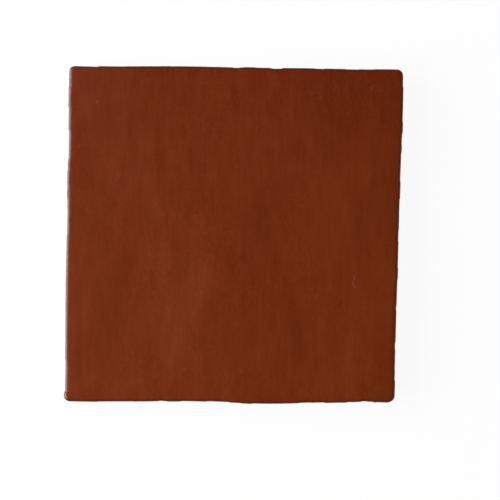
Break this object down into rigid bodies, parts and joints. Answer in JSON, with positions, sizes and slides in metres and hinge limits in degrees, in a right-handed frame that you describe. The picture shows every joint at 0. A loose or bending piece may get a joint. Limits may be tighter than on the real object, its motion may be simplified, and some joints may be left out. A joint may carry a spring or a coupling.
{
  "type": "floor tile",
  "caption": "Square fired-clay floor tile with a satin glazed, softly waving face, rounded edges and corners, and a back keyed with dovetail grooves.",
  "frame": {"origin": "middle of the outline, on the plane of the bed that the tile lies on", "axes": "+Z out of the face, +Y along the keying grooves, +X across them"},
  "size_m": [0.1506, 0.1516, 0.0126],
  "materials": {
    "glazed_clay": "satin"
  },
  "bodies": {
    "root": {"tile": "glazed_clay"}
  },
  "joints": []
}
